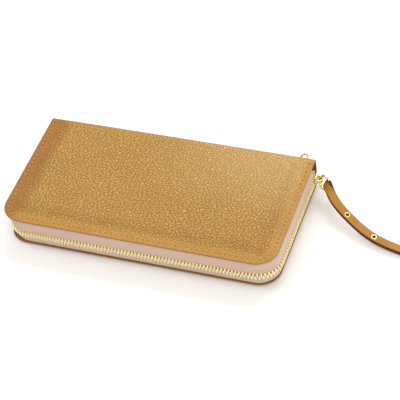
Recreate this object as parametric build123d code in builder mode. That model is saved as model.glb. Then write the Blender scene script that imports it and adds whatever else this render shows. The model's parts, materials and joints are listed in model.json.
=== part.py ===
from build123d import *
import os
from math import atan2, degrees

# A long zip around wallet lying on its back cover.
# Millimetres. The origin is the centre of the resting face, +X runs towards the slider end,
# +Y towards the spine and +Z up. Heights inside a cover are counted as a depth from the flat
# border of its outer face, so that both covers share one description.

# Whole wallet
WIDTH = 195.0
DEPTH = 98.0
CORNER_RADIUS = 15.0
BACK_BORDER_Z = 0.9
FRONT_BORDER_Z = 22.9
MIDDLE_Z = (BACK_BORDER_Z + FRONT_BORDER_Z) / 2
FRONT_EDGE_Y = -DEPTH / 2
SPINE_FACE_Y = DEPTH / 2

# Cover layers, each between two depths below the border face
LEATHER = 1.2
BACK_RISE = 0.9
FRONT_RISE = 1.4
SLOPE_START = 6.0
SLOPE_END = 11.0
BOARD_DEPTHS = (1.25, 1.7)
BOARD_INSET = 8.2
LINING_INSET = 1.3
PANEL_INSET = 5.0
LINING_DEPTHS = (1.75, 2.25)
PANEL_DEPTHS = (2.3, 2.9)
COVER_END_Y = SPINE_FACE_Y - 1.4
SEAM_GAP = 0.05

# Spine
SPINE_LEATHER = 1.2
SPINE_LINING = 0.5
SPINE_CLEARANCE = 1.3
SPINE_LINING_INSET = 3.0
SPINE_EDGE_RADIUS = 0.8

# Main zip
TAPE = 0.5
TAPE_FLANGE = 8.0
TAPE_END_Y = 47.0
CHAIN_OUTSET = 0.7
TOOTH_PITCH = 2.4
TOOTH_LENGTH = 1.0
TOOTH_THICKNESS = 2.6
TOOTH_FOOT_DEPTH = 8.4
TOOTH_NECK_DEPTH = 10.0
TOOTH_TOP_DEPTH = 11.8
CHAIN_START_Y = 43.5
STOP_DEPTH = 2.0
STOP_LENGTH = 1.2
TOP_STOP_Y = 46.3
BOTTOM_STOP_Y = 45.2
BOTTOM_STOP_DEPTH = 2.4
BOTTOM_STOP_LENGTH = 2.0
BOTTOM_STOP_HEIGHT = 5.2
BOTTOM_STOP_WEB = 1.8
TAPE_SLOT = TAPE + 0.1
SLIDER_Y = 41.0
SLIDER_LENGTH = 9.0
SLIDER_WIDTH = 7.1
SLIDER_PLATE = 0.8
SLIDER_GAP = TOOTH_THICKNESS + 0.3
NECK_RADIUS = 0.9
NECK_INSET = 1.0
RAIL_SHARE = 0.7
BRIDGE_HEIGHT = 2.6
BRIDGE_SPAN = 3.4
BRIDGE_WIDTH = 1.6

# Slider D-ring and the strap that hangs from it
RING_WIRE = 0.8
RING_REACH = 6.8
RING_HALF_BAR = 4.1
RING_SWING = -28.0
RING_LEAN = 25.0
RUNNING_CLEARANCE = 0.05
STRAP_WIDTH = 6.0
STRAP_THICKNESS = 2.9
STRAP_TWIST_LENGTH = 10.0
EYELET_START = 29.3
EYELET_PITCH = 25.0
EYELET_COUNT = 5
EYELET_HOLE = 1.4
EYELET_BARREL = 1.7
EYELET_FLANGE = 2.1
EYELET_LIFT = 0.4
EYELET_LIP = 0.3
STRAP_SECTIONS = 14

# Spine ring
SPINE_RING_X = 88.2
SPINE_RING_Z = 17.0
SPINE_RING_Y = SPINE_FACE_Y + 2.6
SPINE_RING_WIRE = 0.55
SPINE_RING_TILT = 50.0
SPINE_RING_REACH = 5.2
SPINE_RING_HALF_BAR = 2.6
TAB_WIDTH = 3.8
TAB_SHEET = 1.0
TAB_LENGTH = 8.0
TAB_LOOP = 1.7
TAB_NECK = (2.6, 2.0)

# Card slots
SLOT_WIDTH = 84.0
SLOT_PITCH = 0.55
SLOT_SHEET = 0.5
SLOT_COUNT = 4
SLOT_STEP = 10.0
SLOT_FRONT_INSET = 7.0
SLOT_MOUTH_Y = 24.0
SLOT_CORNER = 6.0
SLOT_COLUMN_GAP = 2.0

# Gussets
GUSSET = 0.7
GUSSET_OUTER_X = 92.3
GUSSET_FOLD = 3.5
GUSSET_FRONT_Y = 6.0

# Coin pocket and dividers, in the middle of the wallet
POCKET_HALF_WIDTH = 84.0
POCKET_HALF_HEIGHT = 3.8
POCKET_WALL = 0.7
POCKET_MOUTH_Y = -28.0
POCKET_BACK_Y = 46.0
DIVIDER = 0.7
DIVIDER_OFFSET = 4.9
DIVIDER_LENGTH = 85.0
DIVIDER_MIDDLE_Y = 3.0
DIVIDER_CORNER = 8.0
COIN_PITCH = 2.0
COIN_TOOTH_LENGTH = 0.85
COIN_TOOTH_THICKNESS = 2.2
COIN_TOOTH_FOOT = 2.1
COIN_TOOTH_HEIGHT = 2.7
COIN_TAPE = 2.1
COIN_TAPE_OFFSET = 1.95
COIN_CHAIN_START_X = -76.0
COIN_SLIDER_WIDTH = 5.6
COIN_PLATE = 0.7
COIN_PULL_LENGTH = 11.0
COIN_PULL_WIDTH = 4.4
COIN_PULL_THICKNESS = 0.8
COIN_PULL_CORNER = 1.6
COIN_PULL_BAR = 1.2
COIN_PULL_WINDOW = (2.6, 2.2)
COIN_BRIDGE_HEIGHT = 1.7
COIN_BRIDGE_SPAN = 2.6
COIN_BRIDGE_WIDTH = 1.4
COIN_BRIDGE_SINK = 0.3
COIN_SLIDER_X = 70.0
COIN_SLIDER_LENGTH = 8.0


# ---------------------------------------------------------------- shared shapes


def cover_outline(z, inset, back_y):
    """The cover's plan, square at the spine and rounded at the front."""
    front_y = FRONT_EDGE_Y + inset
    with BuildSketch(Plane.XY.offset(z)) as outline:
        with Locations((0, (front_y + back_y) / 2)):
            Rectangle(WIDTH - 2 * inset, back_y - front_y)
        fillet(outline.vertices().group_by(Axis.Y)[0], radius=CORNER_RADIUS - inset)
    return outline.sketch


def cover_sheet(face_z, inward, inset, depths, back_y):
    """A flat layer of a cover between two depths below its border face."""
    near, far = depths
    extrude(cover_outline(face_z + inward * near, inset, back_y), amount=inward * (far - near))


def plateau(face_z, inward, depth, rise, margin, mode):
    """The padded middle: it climbs from the given depth to the given rise above the border."""
    low = cover_outline(face_z + inward * depth, SLOPE_START + margin, COVER_END_Y - SLOPE_START / 2)
    high = cover_outline(face_z - inward * rise, SLOPE_END + margin, COVER_END_Y - SLOPE_START)
    loft(sections=[low, high], mode=mode)


def cover_leather(face_z, inward, rise):
    """Outer leather: a flat border, a raised middle and the hollow that the padding fills."""
    cover_sheet(face_z, inward, 0, (0, LEATHER), COVER_END_Y)
    plateau(face_z, inward, LEATHER / 2, rise, 0, Mode.ADD)
    plateau(face_z, inward, LEATHER, rise - LEATHER, 0.5, Mode.SUBTRACT)


def zip_line(outset):
    """The zip's U-shaped run round the wallet, outside the leather's edge by outset."""
    side = WIDTH / 2 + outset
    front = FRONT_EDGE_Y - outset
    corners = [(-side, TAPE_END_Y), (-side, front), (side, front), (side, TAPE_END_Y)]
    with BuildLine() as run:
        FilletPolyline(*corners, radius=CORNER_RADIUS + outset)
    return run.wires()[0]


def zip_section_plane():
    """Section plane at the left-hand end of the run: x points outward and y up."""
    return Plane(origin=(-WIDTH / 2, TAPE_END_Y, 0), x_dir=(-1, 0, 0), z_dir=(0, 1, 0))


def tape_section(face_z, inward):
    """The tape: a flange sewn under the leather, a leaning wall, and the edge that holds the teeth."""
    outer, inner = CHAIN_OUTSET + TAPE / 2, CHAIN_OUTSET - TAPE / 2
    top = TOOTH_NECK_DEPTH - 0.2
    bend = LEATHER + SEAM_GAP
    shape = [
        (-TAPE_FLANGE, bend),
        (-0.5, bend),
        (outer, TOOTH_FOOT_DEPTH - 0.3),
        (outer, top),
        (inner, top),
        (inner, TOOTH_FOOT_DEPTH - 0.2),
        (-1.0, bend + 0.45),
        (-TAPE_FLANGE, bend + 0.45),
    ]
    with BuildSketch(zip_section_plane()) as section:
        with BuildLine():
            Polyline(*[(u, face_z + inward * depth) for u, depth in shape], close=True)
        make_face()
    return section.sketch


def chain_slot_section(face_z, inward):
    """The slot in the teeth, a little wider than the tape."""
    low = face_z + inward * (TOOTH_FOOT_DEPTH - 0.1)
    high = face_z + inward * (TOOTH_NECK_DEPTH - 0.1)
    with BuildSketch(zip_section_plane()) as section:
        with Locations((CHAIN_OUTSET, (low + high) / 2)):
            Rectangle(TAPE_SLOT, abs(high - low))
    return section.sketch


def tooth_places(start):
    """Places along the chain, one per tooth, turned to follow the run."""
    run = zip_line(CHAIN_OUTSET)
    first = TAPE_END_Y - CHAIN_START_Y + start
    count = int((run.length - first - (TAPE_END_Y - SLIDER_Y)) / TOOTH_PITCH)
    places = []
    for index in range(count):
        along = first + index * TOOTH_PITCH
        point = run.position_at(along, PositionMode.LENGTH)
        tangent = run.tangent_at(along, PositionMode.LENGTH)
        places.append(Location((point.X, point.Y), degrees(atan2(tangent.Y, tangent.X))))
    return places


def zip_teeth(face_z, inward, start):
    """One side's teeth: a foot clamped on the tape edge and a narrower head that meshes."""
    with BuildSketch(Plane.XY.offset(face_z + inward * TOOTH_FOOT_DEPTH)) as feet:
        with Locations(*tooth_places(start)):
            Rectangle(TOOTH_LENGTH, TOOTH_THICKNESS)
    extrude(feet.sketch, amount=inward * (TOOTH_NECK_DEPTH - TOOTH_FOOT_DEPTH))
    with BuildSketch(Plane.XY.offset(face_z + inward * TOOTH_NECK_DEPTH)) as heads:
        with Locations(*tooth_places(start)):
            Rectangle(TOOTH_LENGTH, TOOTH_THICKNESS - 0.5)
    extrude(heads.sketch, amount=inward * (TOOTH_TOP_DEPTH - TOOTH_NECK_DEPTH))
    sweep(sections=chain_slot_section(face_z, inward), path=zip_line(0), mode=Mode.SUBTRACT)


def slider_plates(place, length, width, gap, plate):
    """A slider: two plates joined by a neck at the mouth, with flanged edges and a tape slot."""
    for side in (-1, 1):
        face = place.offset(side * (gap / 2 + plate / 2))
        with BuildSketch(face) as outline:
            RectangleRounded(length, width, radius=width / 5)
        extrude(outline.sketch, amount=plate / 2, both=True)
        rail_height = gap / 2 - TAPE - 0.1
        with BuildSketch(place.offset(side * (gap / 2 - rail_height / 2))) as rails:
            with GridLocations(0, width - plate, 1, 2):
                Rectangle(length * RAIL_SHARE, plate)
        extrude(rails.sketch, amount=rail_height / 2 + SEAM_GAP, both=True)
    with BuildSketch(place) as neck:
        with Locations((length / 2 - NECK_INSET, 0)):
            Circle(NECK_RADIUS)
    extrude(neck.sketch, amount=gap / 2 + plate / 2, both=True)


def slider_bridge(place, base, height, span, width, bar):
    """The arch over a slider's outer plate that a pull or a ring hangs in."""
    arch = Plane(origin=place.origin, x_dir=place.x_dir, z_dir=place.y_dir)
    with BuildSketch(arch) as profile:
        with Locations((0, -base - (height + bar) / 2)):
            RectangleRounded(span + 2 * bar, height + bar, radius=bar)
        with Locations((0, -base - height / 2)):
            Rectangle(span, height, mode=Mode.SUBTRACT)
    extrude(profile.sketch, amount=width / 2, both=True)


def d_ring(bar_middle, out, bar_direction, reach, half_bar, wire):
    """A wire ring with one straight side; the middle of its bow lies opposite the bar."""
    bow = bar_middle - out * reach
    ends = [bar_middle + bar_direction * half_bar, bar_middle - bar_direction * half_bar]
    with BuildLine() as curve:
        ThreePointArc(ends[0], bow, ends[1])
    with BuildSketch(Plane(origin=curve.line @ 0, z_dir=curve.line % 0)) as round_wire:
        Circle(wire)
    sweep(sections=round_wire.sketch, path=curve.line)
    with BuildSketch(Plane(origin=ends[0], z_dir=ends[1] - ends[0])) as bar:
        Circle(wire)
    extrude(bar.sketch, amount=2 * half_bar)
    for end in ends:
        with Locations(end):
            Sphere(wire)


# ---------------------------------------------------------------- covers

with BuildPart() as back_cover_leather:
    cover_leather(BACK_BORDER_Z, 1, BACK_RISE)

with BuildPart() as front_cover_leather:
    cover_leather(FRONT_BORDER_Z, -1, FRONT_RISE)

with BuildPart() as back_cover_padding:
    plateau(BACK_BORDER_Z, 1, LEATHER, BACK_RISE - LEATHER - SEAM_GAP, 0.7, Mode.ADD)

with BuildPart() as front_cover_padding:
    plateau(FRONT_BORDER_Z, -1, LEATHER, FRONT_RISE - LEATHER - SEAM_GAP, 0.7, Mode.ADD)

with BuildPart() as back_cover_board:
    cover_sheet(BACK_BORDER_Z, 1, BOARD_INSET, BOARD_DEPTHS, COVER_END_Y - 1)

with BuildPart() as front_cover_board:
    cover_sheet(FRONT_BORDER_Z, -1, BOARD_INSET, BOARD_DEPTHS, COVER_END_Y - 1)

with BuildPart() as back_cover_lining:
    cover_sheet(BACK_BORDER_Z, 1, LINING_INSET, LINING_DEPTHS, COVER_END_Y - 1.2)

with BuildPart() as front_cover_lining:
    cover_sheet(FRONT_BORDER_Z, -1, LINING_INSET, LINING_DEPTHS, COVER_END_Y - 1.2)

# ---------------------------------------------------------------- spine

SPINE_BOTTOM_Z = BACK_BORDER_Z + SPINE_CLEARANCE
SPINE_HEIGHT = FRONT_BORDER_Z - BACK_BORDER_Z - 2 * SPINE_CLEARANCE

with BuildPart() as spine_leather:
    with BuildSketch(Plane.XY.offset(SPINE_BOTTOM_Z)) as spine_plan:
        with Locations((0, SPINE_FACE_Y - SPINE_LEATHER / 2)):
            Rectangle(WIDTH, SPINE_LEATHER)
    extrude(amount=SPINE_HEIGHT)
    fillet(spine_leather.edges().filter_by(Axis.X).group_by(Axis.Y)[-1], radius=SPINE_EDGE_RADIUS)

with BuildPart() as spine_lining:
    with BuildSketch(Plane.XY.offset(SPINE_BOTTOM_Z + 1)) as lining_plan:
        with Locations((0, COVER_END_Y - 0.05 - SPINE_LINING / 2)):
            Rectangle(WIDTH - 2 * SPINE_LINING_INSET, SPINE_LINING)
    extrude(amount=SPINE_HEIGHT - 2)

# ---------------------------------------------------------------- main zip

with BuildPart() as lower_zip_tape:
    sweep(sections=tape_section(BACK_BORDER_Z, 1), path=zip_line(0))

with BuildPart() as upper_zip_tape:
    sweep(sections=tape_section(FRONT_BORDER_Z, -1), path=zip_line(0))

with BuildPart() as lower_zip_teeth:
    zip_teeth(BACK_BORDER_Z, 1, 0)

with BuildPart() as upper_zip_teeth:
    zip_teeth(FRONT_BORDER_Z, -1, TOOTH_PITCH / 2)


def tape_clip(side, y, face_z, inward):
    """A metal stop squeezed over the edge of the tape beside the end of the chain."""
    chain_x = side * (WIDTH / 2 + CHAIN_OUTSET)
    middle_z = face_z + inward * (TOOTH_FOOT_DEPTH + TOOTH_NECK_DEPTH) / 2
    with Locations((chain_x, y, middle_z)):
        Box(STOP_DEPTH, STOP_LENGTH, TOOTH_NECK_DEPTH - TOOTH_FOOT_DEPTH)
        Box(TAPE_SLOT, 2 * STOP_LENGTH, 2 * STOP_LENGTH, mode=Mode.SUBTRACT)
    with Locations((chain_x, y, face_z + inward * (TOOTH_NECK_DEPTH + 0.2))):
        Box(STOP_DEPTH, STOP_LENGTH, TAPE)


with BuildPart() as lower_top_stop:
    tape_clip(1, TOP_STOP_Y, BACK_BORDER_Z, 1)

with BuildPart() as upper_top_stop:
    tape_clip(1, TOP_STOP_Y, FRONT_BORDER_Z, -1)

with BuildPart() as bottom_stop:
    with BuildSketch(Plane.XY.offset(MIDDLE_Z)) as stop_plan:
        with Locations((-WIDTH / 2 - CHAIN_OUTSET, BOTTOM_STOP_Y)):
            Rectangle(BOTTOM_STOP_DEPTH, BOTTOM_STOP_LENGTH)
            Rectangle(TAPE_SLOT, BOTTOM_STOP_LENGTH, mode=Mode.SUBTRACT)
    extrude(amount=BOTTOM_STOP_HEIGHT / 2, both=True)
    with Locations((-WIDTH / 2 - CHAIN_OUTSET, BOTTOM_STOP_Y, MIDDLE_Z)):
        Box(BOTTOM_STOP_DEPTH, BOTTOM_STOP_LENGTH, BOTTOM_STOP_WEB)

# ---------------------------------------------------------------- slider, ring and strap

SLIDER_PLACE = Plane(
    origin=(WIDTH / 2 + CHAIN_OUTSET, SLIDER_Y, MIDDLE_Z), x_dir=(0, 1, 0), z_dir=(1, 0, 0)
)
BRIDGE_BASE = SLIDER_GAP / 2 + SLIDER_PLATE + SEAM_GAP

with BuildPart() as zip_slider_body:
    slider_plates(SLIDER_PLACE, SLIDER_LENGTH, SLIDER_WIDTH, SLIDER_GAP, SLIDER_PLATE)

with BuildPart() as zip_slider_bridge:
    slider_bridge(SLIDER_PLACE, BRIDGE_BASE, BRIDGE_HEIGHT, BRIDGE_SPAN, BRIDGE_WIDTH, SLIDER_PLATE)

RING_PIVOT = Vector(SLIDER_PLACE.origin.X + BRIDGE_BASE + BRIDGE_HEIGHT / 2, SLIDER_Y, MIDDLE_Z)
RING_OUT = Vector(1, 0, 0).rotate(Axis.Z, RING_SWING)
RING_SIDE = Vector(0, 1, 0).rotate(Axis.Z, RING_SWING)
RING_BAR = Vector(0, 0, 1).rotate(Axis((0, 0, 0), RING_OUT), -RING_LEAN)
RING_BAR_MIDDLE = RING_PIVOT + RING_OUT * RING_REACH

with BuildPart() as slider_d_ring:
    d_ring(RING_BAR_MIDDLE, RING_OUT, RING_BAR, RING_REACH, RING_HALF_BAR, RING_WIRE)

# The strap leaves the ring at right angles to its bar and comes down to lie on the table.
STRAP_RUN = [
    RING_BAR_MIDDLE,
    Vector(115.3, 27.2, 9.9),
    Vector(129.5, 15.4, 6.9),
    Vector(146.2, 5.8, 4.1),
    Vector(166.3, 0.3, 2.3),
    Vector(200.0, -3.0, 1.6),
    Vector(238.0, 1.0, 1.6),
]
with BuildLine() as strap_line:
    Spline(*STRAP_RUN)


def strap_section_plane(along):
    """Plane across the strap: x runs across its width, which turns from the bar to level."""
    line = strap_line.wires()[0]
    point = line.position_at(along, PositionMode.LENGTH)
    tangent = line.tangent_at(along, PositionMode.LENGTH)
    level = Vector(0, 0, 1).cross(tangent).normalized()
    share = min(1.0, along / STRAP_TWIST_LENGTH)
    across = RING_BAR * (1 - share) + level * share
    across = across - tangent * across.dot(tangent)
    return Plane(origin=point, x_dir=across, z_dir=tangent)


STRAP_LENGTH = strap_line.wires()[0].length
EYE_INNER = RING_WIRE + RUNNING_CLEARANCE
EYE_OUTER = EYE_INNER + 1.2

with BuildPart() as wrist_strap:
    strap_sections = []
    for step in range(STRAP_SECTIONS):
        distance = EYE_OUTER - 0.6 + (STRAP_LENGTH - EYE_OUTER) * step / (STRAP_SECTIONS - 1)
        with BuildSketch(strap_section_plane(distance)) as strap_section:
            Rectangle(STRAP_WIDTH, STRAP_THICKNESS)
        strap_sections.append(strap_section.sketch)
    loft(sections=strap_sections)
    with BuildSketch(Plane(origin=RING_BAR_MIDDLE, z_dir=RING_BAR)) as eye:
        Circle(EYE_OUTER)
    extrude(eye.sketch, amount=STRAP_WIDTH / 2, both=True)
    with BuildSketch(Plane(origin=RING_BAR_MIDDLE, z_dir=RING_BAR)) as bar_hole:
        Circle(EYE_INNER)
    extrude(bar_hole.sketch, amount=STRAP_WIDTH, both=True, mode=Mode.SUBTRACT)
    for index in range(EYELET_COUNT):
        across = strap_section_plane(EYELET_START + EYELET_PITCH * index)
        with BuildSketch(Plane(origin=across.origin, x_dir=across.x_dir, z_dir=across.y_dir)) as hole:
            Circle(EYELET_BARREL + 0.1)
        extrude(hole.sketch, amount=STRAP_THICKNESS, both=True, mode=Mode.SUBTRACT)

with BuildPart() as strap_eyelets:
    lip_middle = STRAP_THICKNESS / 2 + EYELET_LIFT - EYELET_LIP / 2
    for index in range(EYELET_COUNT):
        across = strap_section_plane(EYELET_START + EYELET_PITCH * index)
        face = Plane(origin=across.origin, x_dir=across.x_dir, z_dir=across.y_dir)
        with BuildSketch(face) as barrel:
            Circle(EYELET_BARREL)
            Circle(EYELET_HOLE, mode=Mode.SUBTRACT)
        extrude(barrel.sketch, amount=STRAP_THICKNESS / 2 + EYELET_LIFT, both=True)
        for side in (-1, 1):
            with BuildSketch(face.offset(side * lip_middle)) as flange:
                Circle(EYELET_FLANGE)
                Circle(EYELET_HOLE, mode=Mode.SUBTRACT)
            extrude(flange.sketch, amount=EYELET_LIP / 2, both=True)

# ---------------------------------------------------------------- spine ring

with BuildPart() as spine_ring_tab:
    with BuildSketch(Plane.YZ.offset(SPINE_RING_X)) as tab_side:
        with Locations((SPINE_RING_Y, SPINE_RING_Z)):
            Circle(TAB_LOOP)
        with Locations((SPINE_FACE_Y + SEAM_GAP + TAB_SHEET / 2, SPINE_RING_Z - TAB_LENGTH / 2)):
            Rectangle(TAB_SHEET, TAB_LENGTH)
        with Locations((SPINE_FACE_Y + 1.4, SPINE_RING_Z - TAB_LOOP / 3)):
            Rectangle(*TAB_NECK)
        with Locations((SPINE_RING_Y, SPINE_RING_Z)):
            Circle(SPINE_RING_WIRE + RUNNING_CLEARANCE, mode=Mode.SUBTRACT)
    extrude(amount=TAB_WIDTH / 2, both=True)

with BuildPart() as spine_ring:
    d_ring(
        Vector(SPINE_RING_X, SPINE_RING_Y, SPINE_RING_Z),
        Vector(0, -1, 0).rotate(Axis.X, SPINE_RING_TILT),
        Vector(1, 0, 0),
        SPINE_RING_REACH,
        SPINE_RING_HALF_BAR,
        SPINE_RING_WIRE,
    )

# ---------------------------------------------------------------- cards


def card_slots(face_z, inward):
    """Two columns of card pockets, stepped back from the spine like roof tiles."""
    for index in range(SLOT_COUNT):
        depth = PANEL_DEPTHS[1] + SEAM_GAP + index * SLOT_PITCH
        front_y = FRONT_EDGE_Y + SLOT_FRONT_INSET
        mouth_y = SLOT_MOUTH_Y - index * SLOT_STEP
        with BuildSketch(Plane.XY.offset(face_z + inward * depth)) as pocket:
            with Locations((0, (front_y + mouth_y) / 2)):
                with GridLocations(SLOT_WIDTH + SLOT_COLUMN_GAP, 0, 2, 1):
                    RectangleRounded(SLOT_WIDTH, mouth_y - front_y, radius=SLOT_CORNER)
        extrude(pocket.sketch, amount=inward * SLOT_SHEET)


with BuildPart() as back_card_panel:
    cover_sheet(BACK_BORDER_Z, 1, PANEL_INSET, PANEL_DEPTHS, COVER_END_Y - 1.6)

with BuildPart() as front_card_panel:
    cover_sheet(FRONT_BORDER_Z, -1, PANEL_INSET, PANEL_DEPTHS, COVER_END_Y - 1.6)

with BuildPart() as back_card_slots:
    card_slots(BACK_BORDER_Z, 1)

with BuildPart() as front_card_slots:
    card_slots(FRONT_BORDER_Z, -1)

# ---------------------------------------------------------------- middle of the wallet


def divider_sheet(z):
    """A leather sheet between the coin pocket and a cover."""
    with BuildSketch(Plane.XY.offset(z)) as sheet:
        with Locations((0, DIVIDER_MIDDLE_Y)):
            Rectangle(2 * POCKET_HALF_WIDTH, DIVIDER_LENGTH)
        fillet(sheet.vertices().group_by(Axis.Y)[0], radius=DIVIDER_CORNER)
    extrude(sheet.sketch, amount=DIVIDER / 2, both=True)


with BuildPart() as back_divider:
    divider_sheet(MIDDLE_Z - DIVIDER_OFFSET)

with BuildPart() as front_divider:
    divider_sheet(MIDDLE_Z + DIVIDER_OFFSET)

with BuildPart() as coin_pocket:
    with BuildSketch(Plane.XY.offset(MIDDLE_Z)) as pocket_plan:
        with Locations((0, (POCKET_MOUTH_Y + POCKET_BACK_Y) / 2)):
            Rectangle(2 * POCKET_HALF_WIDTH, POCKET_BACK_Y - POCKET_MOUTH_Y)
    extrude(amount=POCKET_HALF_HEIGHT, both=True)
    mouth = coin_pocket.faces().sort_by(Axis.Y)[0]
    offset(amount=-POCKET_WALL, openings=mouth)

COIN_ZIP_Y = POCKET_MOUTH_Y + 0.3

with BuildPart() as coin_zip_tapes:
    for side in (-1, 1):
        with Locations((0, COIN_ZIP_Y, MIDDLE_Z + side * COIN_TAPE_OFFSET)):
            Box(2 * POCKET_HALF_WIDTH - 3, TAPE, COIN_TAPE)

COIN_TOOTH_COUNT = int((COIN_SLIDER_X - COIN_CHAIN_START_X) / COIN_PITCH)

with BuildPart() as coin_zip_teeth:
    for side in (-1, 1):
        shift = COIN_CHAIN_START_X + (1 + side) * COIN_PITCH / 4
        row_middle = shift + COIN_PITCH * (COIN_TOOTH_COUNT - 1) / 2
        with BuildSketch(Plane.XY.offset(MIDDLE_Z + side * COIN_TOOTH_FOOT)) as coin_teeth:
            with Locations((row_middle, COIN_ZIP_Y)):
                with GridLocations(COIN_PITCH, 0, COIN_TOOTH_COUNT, 1):
                    Rectangle(COIN_TOOTH_LENGTH, COIN_TOOTH_THICKNESS)
        extrude(coin_teeth.sketch, amount=-side * COIN_TOOTH_HEIGHT)
        with Locations((0, COIN_ZIP_Y, MIDDLE_Z + side * COIN_TAPE_OFFSET)):
            Box(2 * POCKET_HALF_WIDTH, TAPE_SLOT, COIN_TAPE + 0.1, mode=Mode.SUBTRACT)

COIN_SLIDER_PLACE = Plane(
    origin=(COIN_SLIDER_X, COIN_ZIP_Y, MIDDLE_Z), x_dir=(1, 0, 0), z_dir=(0, -1, 0)
)
COIN_GAP = COIN_TOOTH_THICKNESS + 0.3
COIN_BRIDGE_BASE = COIN_GAP / 2 + COIN_PLATE + SEAM_GAP

with BuildPart() as coin_zip_slider:
    slider_plates(COIN_SLIDER_PLACE, COIN_SLIDER_LENGTH, COIN_SLIDER_WIDTH, COIN_GAP, COIN_PLATE)
    slider_bridge(
        COIN_SLIDER_PLACE,
        COIN_BRIDGE_BASE - COIN_BRIDGE_SINK,
        COIN_BRIDGE_HEIGHT + COIN_BRIDGE_SINK,
        COIN_BRIDGE_SPAN,
        COIN_BRIDGE_WIDTH,
        COIN_PLATE,
    )

COIN_PULL_Y = COIN_ZIP_Y - COIN_BRIDGE_BASE - COIN_BRIDGE_HEIGHT / 2

with BuildPart() as coin_zip_pull:
    with BuildSketch(Plane.XZ.offset(-COIN_PULL_Y)) as pull_outline:
        with Locations((COIN_SLIDER_X - COIN_PULL_LENGTH / 2 + COIN_PULL_BAR / 2, MIDDLE_Z)):
            RectangleRounded(COIN_PULL_LENGTH, COIN_PULL_WIDTH, radius=COIN_PULL_CORNER)
        with Locations((COIN_SLIDER_X, MIDDLE_Z)):
            Rectangle(COIN_PULL_BAR, COIN_PULL_WIDTH)
        with Locations((COIN_SLIDER_X - (COIN_PULL_WINDOW[0] + COIN_PULL_BAR) / 2, MIDDLE_Z)):
            Rectangle(*COIN_PULL_WINDOW, mode=Mode.SUBTRACT)
    extrude(pull_outline.sketch, amount=COIN_PULL_THICKNESS / 2, both=True)

# ---------------------------------------------------------------- gussets


def gusset(side):
    """A leather sheet folded inward once between the covers beside the spine."""
    half_height = MIDDLE_Z - BACK_BORDER_Z - PANEL_DEPTHS[1] - 0.2
    outer = side * GUSSET_OUTER_X
    fold = side * (GUSSET_OUTER_X - GUSSET_FOLD)
    thick = side * GUSSET
    with BuildSketch(Plane.XZ.offset(-GUSSET_FRONT_Y)) as folded:
        with BuildLine():
            Polyline(
                (outer, MIDDLE_Z - half_height),
                (fold, MIDDLE_Z),
                (outer, MIDDLE_Z + half_height),
                (outer + thick, MIDDLE_Z + half_height),
                (fold + thick, MIDDLE_Z),
                (outer + thick, MIDDLE_Z - half_height),
                close=True,
            )
        make_face()
    extrude(folded.sketch, amount=-(COVER_END_Y - 1.8 - GUSSET_FRONT_Y))


with BuildPart() as left_gusset:
    gusset(-1)

with BuildPart() as right_gusset:
    gusset(1)

# ---------------------------------------------------------------- write every piece

PIECES = {
    "back_cover_leather": back_cover_leather,
    "back_cover_padding": back_cover_padding,
    "back_cover_board": back_cover_board,
    "back_cover_lining": back_cover_lining,
    "back_card_panel": back_card_panel,
    "back_card_slots": back_card_slots,
    "lower_zip_tape": lower_zip_tape,
    "lower_zip_teeth": lower_zip_teeth,
    "lower_top_stop": lower_top_stop,
    "bottom_stop": bottom_stop,
    "front_cover_leather": front_cover_leather,
    "front_cover_padding": front_cover_padding,
    "front_cover_board": front_cover_board,
    "front_cover_lining": front_cover_lining,
    "front_card_panel": front_card_panel,
    "front_card_slots": front_card_slots,
    "upper_zip_tape": upper_zip_tape,
    "upper_zip_teeth": upper_zip_teeth,
    "upper_top_stop": upper_top_stop,
    "spine_leather": spine_leather,
    "spine_lining": spine_lining,
    "spine_ring_tab": spine_ring_tab,
    "spine_ring": spine_ring,
    "left_gusset": left_gusset,
    "right_gusset": right_gusset,
    "coin_pocket": coin_pocket,
    "coin_zip_tapes": coin_zip_tapes,
    "coin_zip_teeth": coin_zip_teeth,
    "coin_zip_slider": coin_zip_slider,
    "coin_zip_pull": coin_zip_pull,
    "back_divider": back_divider,
    "front_divider": front_divider,
    "zip_slider_body": zip_slider_body,
    "zip_slider_bridge": zip_slider_bridge,
    "slider_d_ring": slider_d_ring,
    "wrist_strap": wrist_strap,
    "strap_eyelets": strap_eyelets,
}

os.makedirs("parts", exist_ok=True)
for name, piece in PIECES.items():
    piece.part.label = name
    export_step(piece.part, f"parts/{name}.step")
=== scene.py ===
from math import acos, cos, exp, hypot, pi, radians, sin, sqrt

import bpy
import bmesh
import numpy as np
from mathutils import Euler, Matrix, Vector
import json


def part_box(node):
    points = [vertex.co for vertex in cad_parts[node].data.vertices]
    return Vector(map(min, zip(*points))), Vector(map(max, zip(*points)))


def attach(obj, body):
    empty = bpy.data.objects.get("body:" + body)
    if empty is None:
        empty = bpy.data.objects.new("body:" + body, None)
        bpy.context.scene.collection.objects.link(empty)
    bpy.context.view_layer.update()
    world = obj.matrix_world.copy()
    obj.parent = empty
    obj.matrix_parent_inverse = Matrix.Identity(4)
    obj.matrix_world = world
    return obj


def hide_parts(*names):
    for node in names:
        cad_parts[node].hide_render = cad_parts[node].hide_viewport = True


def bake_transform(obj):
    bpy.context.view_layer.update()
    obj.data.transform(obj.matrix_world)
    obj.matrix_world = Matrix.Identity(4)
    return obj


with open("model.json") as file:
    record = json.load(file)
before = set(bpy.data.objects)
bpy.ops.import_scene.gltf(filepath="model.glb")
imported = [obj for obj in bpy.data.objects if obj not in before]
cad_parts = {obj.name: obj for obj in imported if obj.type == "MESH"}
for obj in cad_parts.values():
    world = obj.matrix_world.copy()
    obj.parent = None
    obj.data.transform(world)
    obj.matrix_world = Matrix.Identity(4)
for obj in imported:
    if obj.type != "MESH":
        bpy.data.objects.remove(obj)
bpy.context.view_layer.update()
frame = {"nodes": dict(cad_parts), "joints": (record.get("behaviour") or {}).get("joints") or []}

# Lengths below are millimetres unless a name says metres. Positions come from the CAD frame.
MM = 0.001


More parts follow.
